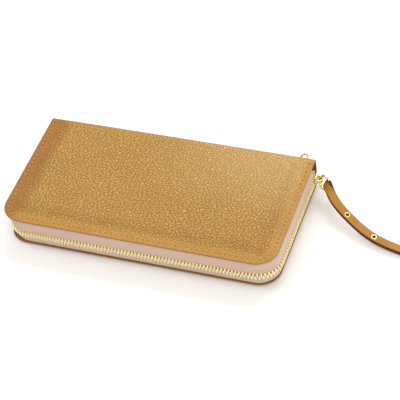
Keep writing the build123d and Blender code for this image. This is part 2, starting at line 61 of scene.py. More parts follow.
def box_mm(node):
    """A CAD node's lowest and highest corners in millimetres."""
    low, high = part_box(node)
    return np.array(low) / MM, np.array(high) / MM


front_low, front_high = box_mm("front_cover_leather")

HALF_WIDTH = front_high[0]
FRONT_Y = front_low[1]
SPINE_Y = box_mm("spine_leather")[1][1]
CORNER = 15.0
FRONT_RISE = 1.4
BACK_RISE = 0.9
FRONT_FACE_Z = front_high[2] - FRONT_RISE
BACK_FACE_Z = box_mm("back_cover_leather")[0][2] + BACK_RISE
MIDDLE_Z = (FRONT_FACE_Z + BACK_FACE_Z) / 2
SPINE_ROUND = 1.5
RIM_TURN = 2.4
STITCH_INSET = 3.3
STITCH_PITCH = 3.8
STITCH_GROOVE = 0.12
POCKET_STITCH_PITCH = 3.6
CHAIN_OUTSET = 0.7
TOOTH_PITCH = 2.4
TOOTH_HALF = 1.25
TAPE_END_Y = SPINE_Y - 9.0
CHAIN_TUCK = 5.0
BACK_TUCK = 2.0
X_AXIS = np.array([1.0, 0.0, 0.0])


def give(thing, **settings):
    """Sets several properties of a thing at once."""
    for key, value in settings.items():
        setattr(thing, key, value)
    return thing


# ---- node materials


class Shader:
    """A principled material whose nodes are added one call at a time."""

    def __init__(self, name, roughness=0.5, metallic=0.0, specular=0.5):
        self.material = bpy.data.materials.new(name)
        self.material.use_nodes = True
        self.tree = self.material.node_tree
        self.surface = self.tree.nodes["Principled BSDF"]
        self.surface.inputs["Roughness"].default_value = roughness
        self.surface.inputs["Metallic"].default_value = metallic
        self.surface.inputs["Specular IOR Level"].default_value = specular

    def feed(self, socket, value):
        """Gives an input a value or another node's output."""
        if isinstance(value, bpy.types.NodeSocket):
            self.tree.links.new(value, socket)
        else:
            socket.default_value = value

    def put(self, kind, inputs=None, **settings):
        made = give(self.tree.nodes.new("ShaderNode" + kind), **settings)
        for key, value in (inputs or {}).items():
            self.feed(made.inputs[key], value)
        return made

    def math(self, operation, a, b=0.0):
        return self.put("Math", {0: a, 1: b}, operation=operation).outputs[0]

    def add(self, a, b):
        return self.math("ADD", a, b)

    def times(self, a, b):
        return self.math("MULTIPLY", a, b)

    def wave(self, value, pitch):
        return self.math("SINE", self.times(value, 2 * pi / pitch))

    def remap(self, value, low, high, to_low=0.0, to_high=1.0):
        inputs = {"Value": value, "From Min": low, "From Max": high, "To Min": to_low, "To Max": to_high}
        return self.put("MapRange", inputs, interpolation_type="SMOOTHSTEP").outputs[0]

    def mix(self, share, first, second):
        """A colour between two; sockets 0, 6 and 7 are the colour kind's share and colours."""
        inputs = {0: share, 6: first, 7: second}
        return self.put("Mix", inputs, data_type="RGBA").outputs[2]

    def noise(self, vector, scale, detail=3.0, roughness=0.5):
        inputs = {"Vector": vector, "Scale": scale, "Detail": detail, "Roughness": roughness}
        return self.put("TexNoise", inputs).outputs["Fac"]

    def place(self, scale=(1, 1, 1), source="Object"):
        """Coordinates in millimetres, stretched by scale."""
        coordinates = self.put("TexCoord").outputs[source]
        unit_scale = 1.0 if source == "UV" else 1 / MM
        inputs = {"Vector": coordinates, "Scale": [s * unit_scale for s in scale]}
        return self.put("Mapping", inputs).outputs[0]

    def axes(self, source="Object"):
        """The x, y and z of a place in millimetres."""
        return self.put("SeparateXYZ", {0: self.place(source=source)}).outputs

    def attribute(self, name):
        return self.put("Attribute", attribute_name=name).outputs["Fac"]

    def bump(self, height, depth, strength):
        inputs = {"Height": height, "Distance": depth * MM, "Strength": strength}
        return self.put("Bump", inputs).outputs[0]

    def finish(self, color, normal=None, roughness=None):
        for socket, value in (("Base Color", color), ("Normal", normal), ("Roughness", roughness)):
            if value is not None:
                self.tree.links.new(value, self.surface.inputs[socket])
        return self.material


def pebbled_leather(name, base, pale, warm_and_shade, crease_shade_and_grain, painted_sheen, rim_dark):
    """Drum-dyed leather: irregular pebbles with fine grain inside them. Pebble tops are lighter as painted
    highlight and the creases between them darker as painted shade. It is warmer and darker in the bent
    places and at the left edge, partly dye and partly painted shade, with a painted sheen towards the back
    right and a darker turned rim.
    """
    s = Shader(name, specular=0.42)
    flat = s.place(source="UV")
    wander = s.put("TexNoise", {"Vector": flat, "Scale": 0.22, "Detail": 2.0}).outputs["Color"]
    bent = s.put("VectorMath", {0: wander, 1: (3.2, 3.2, 0.0)}, operation="MULTIPLY").outputs[0]
    bent = s.put("VectorMath", {0: flat, 1: bent}, operation="ADD").outputs[0]
    squashed = s.put("Mapping", {"Vector": bent, "Scale": (0.43, 0.66, 1.0)}).outputs[0]
    cell = {"Vector": squashed, "Scale": 1.0, "Randomness": 0.92}
    edges = s.put("TexVoronoi", cell, voronoi_dimensions="2D", feature="DISTANCE_TO_EDGE")
    cell["Smoothness"] = 0.35
    domes = s.put("TexVoronoi", cell, voronoi_dimensions="2D", feature="SMOOTH_F1")
    groove = s.remap(edges.outputs["Distance"], 0.0, 0.22)
    dome = s.remap(domes.outputs["Distance"], 0.05, 0.62, 1.0, 0.0)
    pebble = s.add(s.times(groove, 0.45), s.times(dome, 0.55))
    grain = s.attribute("grain")
    fine = s.noise(flat, 3.2, 4.0, 0.6)
    height = s.add(s.times(pebble, grain), s.times(fine, 0.10))
    cloud = s.noise(flat, 0.035, 3.0, 0.55)
    color = s.mix(s.remap(cloud, 0.3, 0.7, 0.0, 0.20), base, warm_and_shade)
    # Painted highlight: the pebble tops are lightened in the colour, towards the pale colour.
    painted_highlight = s.times(s.remap(pebble, 0.45, 1.0, 0.0, 0.60), grain)
    color = s.mix(painted_highlight, color, pale)
    # Painted shade: the creases between the pebbles are darkened in the colour.
    depth = s.times(s.remap(pebble, 0.05, 0.62, 0.60, 0.0), grain)
    color = s.mix(depth, color, crease_shade_and_grain)
    # Warmer and darker at the bends, the border and the left edge: partly dye, partly painted shade.
    color = s.mix(s.attribute("tone_and_shade"), color, warm_and_shade)
    # Painted sheen: lighter towards the back right, standing in for a glossy reflection.
    color = s.mix(s.attribute("painted_sheen"), color, painted_sheen)
    color = s.mix(s.remap(fine, 0.35, 0.7, 0.0, 0.10), color, crease_shade_and_grain)
    # Darker along the turned rim and under it.
    color = s.mix(s.attribute("edge"), color, rim_dark)
    return s.finish(color, s.bump(height, 0.80, 1.0), s.remap(pebble, 0.2, 0.9, 0.55, 0.38))


def smooth_leather(name, base, dark, grain_scale=1.6, depth=0.05, roughness=0.5):
    """Plain leather with a fine pore grain and slow colour changes."""
    s = Shader(name, specular=0.25)
    at = s.place()
    cells = {"Vector": at, "Scale": grain_scale, "Randomness": 1.0}
    pores = s.put("TexVoronoi", cells, feature="DISTANCE_TO_EDGE").outputs["Distance"]
    pores = s.remap(pores, 0.0, 0.18)
    fibre = s.noise(at, 0.9, 5.0, 0.65)
    color = s.mix(s.remap(s.noise(at, 0.12), 0.3, 0.7, 0.0, 0.5), base, dark)
    color = s.mix(s.remap(pores, 0.0, 1.0, 0.25, 0.0), color, dark)
    height = s.add(s.times(pores, 0.5), s.times(fibre, 0.6))
    rough = s.remap(fibre, 0.3, 0.7, roughness - 0.08, roughness + 0.1)
    return s.finish(color, s.bump(height, depth, 0.8), rough)


def herringbone_tape(name, base, shade):
    """Woven zip tape: diagonal ribs that turn back on themselves every few millimetres."""
    s = Shader(name, roughness=0.85, specular=0.2)
    along, across, _ = s.axes("UV")
    turn = s.math("PINGPONG", across, 3.4)
    rib = s.remap(s.wave(s.add(along, turn), 1.7), -1.0, 0.8)
    weave = s.times(s.add(s.wave(across, 0.32), s.wave(along, 0.36)), 0.09)
    height = s.add(rib, weave)
    fuzz = s.noise(s.place(), 2.2, 4.0, 0.7)
    # Darker in the grooves between the ribs: painted shade. The fuzz on the next line is the tape's own
    # fleck.
    color = s.mix(s.remap(height, -0.1, 0.95, 0.85, 0.0), base, shade)
    color = s.mix(s.remap(fuzz, 0.3, 0.75, 0.0, 0.25), color, shade)
    s.surface.inputs["Sheen Weight"].default_value = 0.25
    return s.finish(color, s.bump(height, 0.13, 0.9))


def plain_weave(name, base, shade):
    """Lining cloth: square weave with slubs."""
    s = Shader(name, roughness=0.9, specular=0.15)
    pitch = 0.55
    x, y, _ = s.axes()
    weave = s.times(s.wave(x, pitch), s.wave(y, pitch))
    slub = s.noise(s.place((0.25, 2.0, 1.0)), 0.8)
    # Darker between the threads: painted shade. The slubs on the next line are the cloth's own colour
    # changes.
    color = s.mix(s.remap(weave, -1.0, 1.0, 0.55, 0.0), base, shade)
    color = s.mix(s.remap(slub, 0.45, 0.75, 0.0, 0.35), color, shade)
    s.surface.inputs["Sheen Weight"].default_value = 0.2
    return s.finish(color, s.bump(s.add(weave, slub), 0.06, 0.8))


def polished_metal(name, base, worn, roughness):
    """Plated metal: slightly uneven polish, fine scratches, duller where it rubs."""
    s = Shader(name, metallic=1.0)
    cloud = s.noise(s.place(), 0.35, 3.0, 0.6)
    lines = s.noise(s.place((0.5, 6.0, 6.0)), 1.4, 2.0)
    color = s.mix(s.remap(cloud, 0.35, 0.7, 0.0, 0.55), base, worn)
    rub = s.remap(cloud, 0.3, 0.75, roughness - 0.06, roughness + 0.14)
    rough = s.add(rub, s.remap(lines, 0.5, 0.8, 0.0, 0.1))
    return s.finish(color, s.bump(s.add(lines, cloud), 0.02, 0.35), rough)


def twisted_thread(name, base, dark):
    """Sewing thread: diagonal plies."""
    s = Shader(name, roughness=0.75, specular=0.25)
    x, y, z = s.axes()
    ply = s.wave(s.add(s.add(x, y), z), 0.4)
    # Darker in the grooves between the plies: painted shade.
    color = s.mix(s.remap(ply, -1.0, 0.6, 0.7, 0.0), base, dark)
    return s.finish(color, s.bump(ply, 0.05, 0.8))


def painted_edge(name, base, dark):
    """Edge coating painted on cut leather: smooth, with a slightly lumpy coat."""
    s = Shader(name, roughness=0.42, specular=0.22)
    lumps = s.noise(s.place(), 0.7, 4.0, 0.6)
    color = s.mix(s.remap(lumps, 0.35, 0.65), base, dark)
    return s.finish(color, s.bump(lumps, 0.12, 0.7), s.remap(lumps, 0.3, 0.7, 0.35, 0.55))


# The pale colour is the painted highlight on the pebble tops; the darkest colour is painted shade in the
# creases and also darkens the fine grain.
LEATHER = pebbled_leather(
    "pebbled_mustard_leather", base=(0.465, 0.248, 0.038, 1), pale=(0.660, 0.395, 0.085, 1),
    warm_and_shade=(0.280, 0.092, 0.002, 1), crease_shade_and_grain=(0.215, 0.090, 0.006, 1),
    painted_sheen=(0.66, 0.47, 0.20, 1), rim_dark=(0.17, 0.050, 0.022, 1))
STRAP_LEATHER = smooth_leather(
    "strap_tan_leather", (0.37, 0.165, 0.010, 1), (0.30, 0.115, 0.006, 1), grain_scale=1.9)
EDGE_PAINT = painted_edge("dark_edge_paint", (0.105, 0.018, 0.010, 1), (0.055, 0.012, 0.008, 1))
# Gusset leather in a dark red that is partly painted shade: it is as dark as the shade in the gaps at the
# spine ends.
GUSSET_LEATHER = smooth_leather(
    "shade_dark_red_gusset_leather", (0.155, 0.025, 0.014, 1), (0.085, 0.014, 0.010, 1))
INNER_LEATHER = smooth_leather(
    "chestnut_inner_leather", (0.30, 0.10, 0.038, 1), (0.20, 0.06, 0.024, 1), grain_scale=1.4)
TAPE = herringbone_tape("beige_zip_tape", (0.70, 0.525, 0.425, 1), (0.34, 0.20, 0.145, 1))
LINING = plain_weave("wine_lining_cloth", (0.22, 0.050, 0.034, 1), (0.12, 0.026, 0.020, 1))
GOLD = polished_metal("gold_plated_metal", (0.93, 0.78, 0.42, 1), (0.74, 0.55, 0.22, 1), 0.16)
TOOTH_GOLD = polished_metal("zip_tooth_brass", (1.0, 0.90, 0.52, 1), (0.90, 0.74, 0.36, 1), 0.30)
THREAD = twisted_thread("tan_thread", (0.58, 0.330, 0.075, 1), (0.40, 0.190, 0.030, 1))
# Near-black painted shadow for the needle holes.
HOLE_SHADOW = smooth_leather(
    "needle_hole_shadow", (0.050, 0.016, 0.003, 1), (0.030, 0.010, 0.002, 1), depth=0.02, roughness=0.88)


# ---- mesh helpers


def new_object(name, data):
    made = bpy.data.objects.new(name, data)
    bpy.context.scene.collection.objects.link(made)
    return made


def make_piece(name, shape, materials, body=None, node=None, uvs=None, face_materials=None,
               solid=True):
    """A smooth-shaded mesh from points in millimetres and faces; uvs is one pair per point.
    A solid piece gets its faces turned outward; an open sheet keeps them as given.
    The piece moves with a body and is shown in place of a CAD node, where these are given."""
    points, faces = shape
    mesh = bpy.data.meshes.new(name)
    mesh.from_pydata([tuple(p) for p in np.asarray(points, float) * MM], [], [tuple(f) for f in faces])
    for material in materials:
        mesh.materials.append(material)
    mesh.polygons.foreach_set("use_smooth", [True] * len(mesh.polygons))
    if face_materials is not None:
        mesh.polygons.foreach_set("material_index", list(face_materials))
    if uvs is not None:
        layer = mesh.uv_layers.new(name="UVMap")
        corner_points = np.zeros(len(mesh.loops), int)
        mesh.loops.foreach_get("vertex_index", corner_points)
        layer.data.foreach_set("uv", np.asarray(uvs, np.float32)[corner_points].ravel())
    if solid:
        turned = bmesh.new()
        turned.from_mesh(mesh)
        bmesh.ops.recalc_face_normals(turned, faces=turned.faces)
        turned.to_mesh(mesh)
        turned.free()
    mesh.update()
    piece = new_object(name, mesh)
    if body:
        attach(piece, body)
    if node:
        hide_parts(node)
    return piece


def hardware(name, shape, body, node):
    return make_piece(name, shape, [GOLD], body, node)


def grid_faces(columns, rows, closed_columns=False, closed_rows=False, flip=False):
    """Quads over points stored row by row, columns points in a row."""
    faces = []
    for j in range(rows if closed_rows else rows - 1):
        for i in range(columns if closed_columns else columns - 1):
            i2, j2 = (i + 1) % columns, (j + 1) % rows
            face = (j * columns + i, j * columns + i2, j2 * columns + i2, j2 * columns + i)
            faces.append(face[::-1] if flip else face)
    return faces


def capped_faces(sides, rows):
    """Faces of a tube of rows rings with both ends filled in."""
    last = (rows - 1) * sides
    caps = [tuple(range(sides))[::-1], tuple(range(last, last + sides))]
    return grid_faces(sides, rows, closed_columns=True) + caps


def merge(parts):
    """One mesh from several (points, faces) pairs."""
    points, faces, start = [], [], 0
    for part_points, part_faces in parts:
        points.append(part_points)
        faces += [tuple(start + k for k in face) for face in part_faces]
        start += len(part_points)
    return np.vstack(points), faces


def placed(part, origin, axes):
    """Moves (points, faces) from local axes, given as three rows, to the frame."""
    points, faces = part
    return np.asarray(origin) + points @ np.asarray(axes, float), faces


def add_modifier(piece, kind, **settings):
    return give(piece.modifiers.new(kind.lower(), kind), **settings)


def thicken(sheet, thickness, offset):
    """Gives an open sheet its thickness and rounds it off."""
    add_modifier(sheet, "SOLIDIFY", thickness=thickness * MM, offset=offset)
    add_modifier(sheet, "SUBSURF", levels=1, render_levels=1)


def evaluated(piece):
    """The piece with its modifiers worked out."""
    bpy.context.view_layer.update()
    return piece.evaluated_get(bpy.context.evaluated_depsgraph_get())


def smoothstep(x):
    x = np.clip(x, 0.0, 1.0)
    return x * x * (3 - 2 * x)


def unit(vectors):
    """A vector, or each row of vectors, at length one."""
    return np.asarray(vectors, float) / np.linalg.norm(vectors, axis=-1, keepdims=True)


def travelled(points):
    """The length of the way along points, up to each of them."""
    return np.concatenate([[0], np.cumsum(np.linalg.norm(np.diff(points, axis=0), axis=1))])


def tuck(points, amount):
    """Draws points near the left end in under the front cover, which overhangs there."""
    points = np.array(points, float)
    points[:, 0] += amount * smoothstep((-points[:, 0] - 50.0) / 42.0)
    return points


def settle_cloth(piece, pinned, pressure, frames, cap):
    """Runs a short cloth simulation, then keeps each point within cap of where it began."""
    before = np.array([v.co for v in piece.data.vertices])
    group = piece.vertex_groups.new(name="pinned")
    for index, weight in enumerate(pinned):
        if weight > 0:
            group.add([index], float(weight), "REPLACE")
    cloth = add_modifier(piece, "CLOTH").settings
    give(cloth, vertex_group_mass="pinned", quality=6, mass=0.25, use_pressure=True,
         tension_stiffness=25, compression_stiffness=25, shear_stiffness=10, bending_stiffness=3,
         uniform_pressure_force=pressure)
    cloth.effector_weights.gravity = 0
    for step in range(1, frames + 1):
        bpy.context.scene.frame_set(step)
    after = np.array([v.co for v in evaluated(piece).data.vertices])
    piece.modifiers.clear()
    bpy.context.scene.frame_set(1)
    move = after - before
    length = np.linalg.norm(move, axis=1, keepdims=True)
    move *= np.minimum(1.0, cap * MM / np.maximum(length, 1e-9))
    piece.data.vertices.foreach_set("co", (before + move).astype(np.float32).ravel())
    piece.data.update()


# ---- outer leather

RIM_LINES = [0.0, 0.6, 1.1, 1.45, 2.1, 2.6, 3.2, 4.0, 4.8, 5.3, 5.7, 6.1, 6.9, 8.2, 9.6, 11.0, 12.4,
             13.7, 15.0, 16.2, CORNER + RIM_TURN]
WRAP_Y = SPINE_Y - SPINE_ROUND


def rim_shape(e):
    """Distance in from the edge, and height over the border, at a distance e along the turned edge."""
    if not np.isfinite(e):
        return CORNER, 0.0
    lines = [0.0, 1.1, 1.45, 2.1, 2.6, 3.2]
    inset = np.interp(e, lines, [1.6, 0.45, 0.1, 0.0, 0.25, 0.8])
    height = np.interp(e, lines, [-1.25, -1.25, -1.05, -0.45, -0.08, 0.0])
    return (e - RIM_TURN if e > lines[-1] else inset), height


def skin_columns():
    """Each column: distance in from the left or right edge, that side, and x between the corners."""
    corner_x = HALF_WIDTH - CORNER
    between = [(np.inf, 0, x) for x in np.linspace(-corner_x, corner_x, 67)[1:-1]]
    left = [(e, -1, -corner_x) for e in RIM_LINES]
    return left + between + [(e, 1, corner_x) for e in RIM_LINES[::-1]]


def skin_rows():
    """Each row: distance in from the front edge, y, z, lean over the spine, and y as if laid flat."""
    corner_y = FRONT_Y + CORNER
    rows = [(e, corner_y, 0.0, 0.0, 0.0) for e in RIM_LINES]
    rows += [(np.inf, y, 0.0, 0.0, y) for y in np.linspace(corner_y, WRAP_Y, 31)[1:]]
    for t in np.linspace(0, pi / 2, 8)[1:]:
        y, z = WRAP_Y + SPINE_ROUND * sin(t), SPINE_ROUND * (cos(t) - 1)
        rows.append((np.inf, y, z, t, WRAP_Y + SPINE_ROUND * t))
    for down in np.linspace(0, (FRONT_FACE_Z - BACK_FACE_Z) / 2 - SPINE_ROUND, 6)[1:]:
        flat_y = WRAP_Y + SPINE_ROUND * pi / 2 + down
        rows.append((np.inf, SPINE_Y, -SPINE_ROUND - down, pi / 2, flat_y))
    return rows


def skin_point(column, row, rise, crown):
    """One point of the leather, its place laid flat, and what its colour depends on."""
    edge_x, side, x = column
    edge_y, y, z, lean, flat_y = row
    reach = CORNER + RIM_TURN
    a, b = max(0.0, 1 - edge_x / reach), max(0.0, 1 - edge_y / reach)
    e = min(edge_x, edge_y)
    inset, height = rim_shape(e)
    flat_x = side * (HALF_WIDTH + RIM_TURN - edge_x) if side else x
    if a > 0 and b > 0:
        round_in = (CORNER - inset) / hypot(a, b)
        x, y = side * (HALF_WIDTH - CORNER + a * round_in), FRONT_Y + CORNER - b * round_in
    elif a > 0:
        x = side * (HALF_WIDTH - inset)
    elif b > 0:
        y = FRONT_Y + inset
    inside = inset if a > 0 and b > 0 else min(HALF_WIDTH - abs(x), y - FRONT_Y)
    away = WRAP_Y - y
    swell = smoothstep((inside - 4.0) / 15.0) * smoothstep((away + SPINE_ROUND) / 3.5)
    height -= STITCH_GROOVE * exp(-(((inset if a or b else inside) - STITCH_INSET) / 0.7) ** 2)
    height += rise * swell + crown * smoothstep(inside / 45.0) * smoothstep((away + 4) / 45.0)
    flat = (flat_x, FRONT_Y - RIM_TURN + edge_y if np.isfinite(edge_y) else flat_y)
    return (x, y + height * sin(lean), z + height * cos(lean)), flat, (x, y, inside, e, swell)


def leather_shares(x, y, inside, e, swell):
    """Shares for the material: warmer and darker colour (partly dye, partly painted shade), height of the
    pebbles, a darker turned rim and a painted sheen.
    """
    left = smoothstep((22 - (x + HALF_WIDTH)) / 22)
    border = 1 - smoothstep((inside - 3) / 5)
    bent = 4 * swell * (1 - swell) + border
    # Painted sheen: a lighter patch towards the back right of the covers.
    painted_sheen = smoothstep((x + 30) / 110) * smoothstep((y + 25) / 70) * smoothstep((inside - 2) / 8)
    return {
        # Warmer and darker at the slopes, the border and most at the left edge: partly dye, partly painted
        # shade where the leather turns away from the light.
        "tone_and_shade": np.minimum(1, 0.26 * bent * (1 - left) + 0.90 * left),
        "grain": np.clip(0.42 + 0.70 * smoothstep((inside - 3) / 9), 0, 1),
        # Darker along the turned rim and under it.
        "edge": 1 - smoothstep((e - 1.7) / 0.7),
        "painted_sheen": 0.42 * painted_sheen,
    }


def cover_skin(name, face_z, up, rise, crown, nodes):
    """A cover's leather, from its turned edge over the padding round to mid-spine, bent at the hinge."""
    columns, rows = skin_columns(), skin_rows()
    made = [skin_point(column, row, rise, crown) for row in rows for column in columns]
    points, flat, measured = [np.array(part) for part in zip(*made)]
    points[:, 2] = face_z + up * points[:, 2]
    if up < 0:
        along = smoothstep((SPINE_Y - 4.0 - points[:, 1:2]) / 30.0)
        points += (tuck(points, BACK_TUCK) - points) * along
    faces = grid_faces(len(columns), len(rows), flip=up < 0)
    skin = make_piece(name, (points, faces), [LEATHER], uvs=flat, solid=False)
    shares = leather_shares(*measured.T)
    shares["edge"] *= 1.0 if up > 0 else 0.6
    for share, values in shares.items():
        attribute = skin.data.attributes.new(share, "FLOAT", "POINT")
        attribute.data.foreach_set("value", values.astype(np.float32))
    if up > 0:
        inside = np.minimum(HALF_WIDTH - np.abs(points[:, 0]), points[:, 1] - FRONT_Y)
        inside = np.minimum(inside, WRAP_Y - points[:, 1])
        settle_cloth(skin, 1 - smoothstep((inside - 5) / 8), pressure=0.6, frames=16, cap=0.4)
    thicken(skin, 1.0, -1.0)
    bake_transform(skin)
    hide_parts(*nodes)


cover_skin("front_leather_skin", FRONT_FACE_Z, 1, FRONT_RISE, 0.7,
           ("front_cover_leather", "front_cover_padding", "front_cover_board", "spine_leather"))
cover_skin("back_leather_skin", BACK_FACE_Z, -1, BACK_RISE, 0.0,
           ("back_cover_leather", "back_cover_padding", "back_cover_board"))


# ---- runs round three sides


def left_place(s, outset, end_y):
    """A place on the left half of a run, s millimetres from its end: x, y, outward x, outward y."""
    radius = CORNER + outset
    straight = end_y - FRONT_Y - CORNER
    if s <= straight:
        return -HALF_WIDTH - outset, end_y - s, -1.0, 0.0
    t = (s - straight) / radius
    if t <= pi / 2:
        nx, ny = -cos(t), -sin(t)
        return -HALF_WIDTH + CORNER + radius * nx, FRONT_Y + CORNER + radius * ny, nx, ny
    along = s - straight - radius * pi / 2
    return -HALF_WIDTH + CORNER + along, FRONT_Y - outset, 0.0, -1.0


def zip_run(outset, step, end_y):
    """Places round the wallet from the left spine end to the right: x, y, outward x, outward y, length."""
    corners = pi * (CORNER + outset)
    total = 2 * (end_y - FRONT_Y - CORNER) + corners + 2 * (HALF_WIDTH - CORNER)
    places = []
    for s in np.linspace(0, total, int(round(total / step)) + 1):
        x, y, nx, ny = left_place(min(s, total - s), outset, end_y)
        mirror = 1 if s <= total / 2 else -1
        places.append((mirror * x, y, mirror * nx, ny, s))
    return np.array(places)


def turned_ends(places):
    """The run with both ends turned inward beside the spine."""
    radius = 2.0
    x, y, _, _, total = places[-1]
    right, left = [], []
    for t in np.linspace(0, 1.9, 6)[1:]:
        nx, ny = cos(t), sin(t)
        turned_x = x - radius + radius * nx
        right.append((turned_x, y + radius * ny, nx, ny, total + radius * t))
        left.insert(0, (-turned_x, y + radius * ny, -nx, ny, -radius * t))
    return np.vstack([left, places, right])


# ---- zip tapes

TAPE_THICK = 0.42


def tape_section(face_z, up):
    """The tape's section from under the leather out to the chain: a closed ribbon and its widths."""
    line = np.array([(-5.5, 1.4), (-1.7, 1.5), (-0.95, 1.95), (-0.6, 2.9), (-0.3, 4.4), (0.0, 6.0),
                     (0.35, 7.6), (0.65, 8.9), (0.72, 10.1)])
    direction = unit(np.gradient(line, axis=0))
    side = np.stack([direction[:, 1], -direction[:, 0]], 1) * TAPE_THICK / 2
    ring = np.vstack([line + side, (line - side)[::-1]])
    across = travelled(line)
    return [(out, face_z + up * depth) for out, depth in ring], np.concatenate([across, across[::-1]])


def zip_tape(name, node, face_z, up, body):
    section, across = tape_section(face_z, up)
    points, uvs = [], []
    for x, y, nx, ny, s in turned_ends(zip_run(0.0, 2.0, TAPE_END_Y)):
        furthest_in = -1.7 if ny > 0 else -9.0
        for (out, z), v in zip(section, across):
            out = max(out, furthest_in)
            points.append((x + nx * out, y + ny * out, z))
            uvs.append((s, v))
    shape = tuck(points, CHAIN_TUCK), capped_faces(len(section), len(points) // len(section))
    make_piece(name, shape, [TAPE], body, node, uvs)


zip_tape("upper_tape_weave", "upper_zip_tape", FRONT_FACE_Z, -1, "front_cover")
zip_tape("lower_tape_weave", "lower_zip_tape", BACK_FACE_Z, 1, "back_cover")


# ---- plates and teeth


def bevelled(mesh, rims, bevel, segments, profile):
    """Softens the rims of a bmesh and gives its (points, faces)."""
    bmesh.ops.bevel(mesh, geom=rims, offset=bevel, segments=segments, affect="EDGES", profile=profile)
    mesh.verts.index_update()
    points = np.array([v.co for v in mesh.verts])
    faces = [tuple(v.index for v in f.verts) for f in mesh.faces]
    mesh.free()
    return points, faces


def bevelled_plate(outline, low, high, bevel, segments=2):
    """A flat plate between two heights with softened rims."""
    mesh = bmesh.new()
    ring = [mesh.verts.new((x, y, low)) for x, y in outline]
    mesh.faces.new(ring)
    grown = bmesh.ops.extrude_face_region(mesh, geom=list(mesh.faces))
    raised = [v for v in grown["geom"] if isinstance(v, bmesh.types.BMVert)]
    bmesh.ops.translate(mesh, verts=raised, vec=(0, 0, high - low))
    bmesh.ops.recalc_face_normals(mesh, faces=mesh.faces)
    rims = [e for e in mesh.edges if abs(e.verts[0].co.z - e.verts[1].co.z) < 1e-6]
    return bevelled(mesh, rims, bevel, segments, 0.5)


def circle(radius, count):
    angles = 2 * pi * np.arange(count) / count
    return np.stack([radius * np.cos(angles), radius * np.sin(angles)], 1)


def rounded_corners(length, width, radius, steps):
    """The points of a rounded rectangle about the origin, one list for each corner."""
    corners = []
    for quarter, (sx, sy) in enumerate([(1, 1), (-1, 1), (-1, -1), (1, -1)]):
        angles = pi / 2 * (quarter + np.arange(steps + 1) / steps)
        middle = (sx * (length / 2 - radius), sy * (width / 2 - radius))
        corners.append([(middle[0] + radius * cos(t), middle[1] + radius * sin(t)) for t in angles])
    return corners


def rounded_outline(length, width, radius, steps=5):
    return sum(rounded_corners(length, width, radius, steps), [])


def tooth_template():
    """One cast tooth: a wide foot, a waist and a round head, with softened edges.
    x runs along the chain, y outward, z from the tape towards the other side."""
    side = [(0.64, 0.0), (0.66, 1.1), (0.42, 1.8), (0.52, 2.5), (0.42, 3.15)]
    outline = [(-0.64, 0.0)] + side + [(0.0, 3.4)] + [(-x, z) for x, z in side[:0:-1]]
    mesh = bmesh.new()
    front, back = [[mesh.verts.new((x, y, z)) for x, z in outline] for y in (-TOOTH_HALF, TOOTH_HALF)]
    mesh.faces.new(front)
    mesh.faces.new(back[::-1])
    for k in range(len(outline)):
        mesh.faces.new((front[k], front[k - 1], back[k - 1], back[k]))
    rims = [e for e in mesh.edges if abs(e.verts[0].co.y - e.verts[1].co.y) < 1e-6]
    return bevelled(mesh, rims, 0.2, 2, 0.6)


def at_place(shape, place, foot_z, up):
    """Carries a template to a place on the chain; up is +1 for teeth that point upward."""
    x, y, nx, ny, _ = place
    return placed(shape, (x, y, foot_z), ((ny, -nx, 0), (nx, ny, 0), (0, 0, up)))


def zip_teeth(name, node, up, shift, body):
    """Teeth on every second place of the run, as far as the slider."""
    node_low, node_high = box_mm(node)
    foot_z = node_low[2] if up > 0 else node_high[2]
    slider_y = box_mm("zip_slider_body")[0][1] + 6.5
    places = zip_run(CHAIN_OUTSET, TOOTH_PITCH / 2, TAPE_END_Y)[(2 + shift)::2]
    places = [p for p in places if p[2] <= 0.9 or p[1] <= slider_y]
    tooth = tooth_template()
    points, faces = merge([at_place(tooth, place, foot_z, up) for place in places])
    shape = tuck(points, CHAIN_TUCK), faces
    add_modifier(make_piece(name, shape, [TOOTH_GOLD], body, node), "WEIGHTED_NORMAL")


zip_teeth("lower_cast_teeth", "lower_zip_teeth", 1, 0, "back_cover")
zip_teeth("upper_cast_teeth", "upper_zip_teeth", -1, 1, "front_cover")


# ---- stitching


def stitch_template():
    """A short thread that rises out of one hole and dives into the next, along x."""
    rings, sides = 7, 6
    half, radius = 1.15, 0.30
    points = []
    for t in np.linspace(-1, 1, rings):
        size = radius * max(0.25, sqrt(1 - t * t * 0.85))
        lift = 0.10 * (1 - t * t) - 0.12 * t * t
        points += [(t * half, 1.15 * y, lift + z) for y, z in circle(size, sides)]
    return np.array(points), capped_faces(sides, rings)


def hole_template():
    """A shallow lens at a needle hole, near black: painted shadow standing for the shade inside the hole.
    """
    rings, sides = 3, 10
    points = []
    for share in np.arange(1, rings + 1) / rings:
        points += [(1.25 * x, y, 0.05 - 0.12 * share**2) for x, y in circle(0.80 * share, sides)]
    points += [(0.0, 0.0, 0.05), (0.0, 0.0, -0.3)]
    last, top, bottom = (rings - 1) * sides, rings * sides, rings * sides + 1
    faces = grid_faces(sides, rings, closed_columns=True)
    for m in range(sides):
        n = (m + 1) % sides
        faces += [(top, n, m), (bottom, last + m, last + n)]
    return np.array(points), faces


def stitching(name, template, material, offset, face_z, up, body, drop):
    """Copies of a template one pitch apart, starting a share of a pitch along the stitch line."""
    fine = zip_run(-STITCH_INSET, 0.2, SPINE_Y - 4.0)
    wanted = np.arange(offset * STITCH_PITCH + 1.0, fine[-1][4] - 1.0, STITCH_PITCH)
    places = [fine[int(np.argmin(np.abs(fine[:, 4] - s)))] for s in wanted]
    points, faces = merge([at_place(template, place, face_z - up * drop, up) for place in places])
    if up < 0:
        points = tuck(points, BACK_TUCK)
    make_piece(name, (points, faces), [material], body)


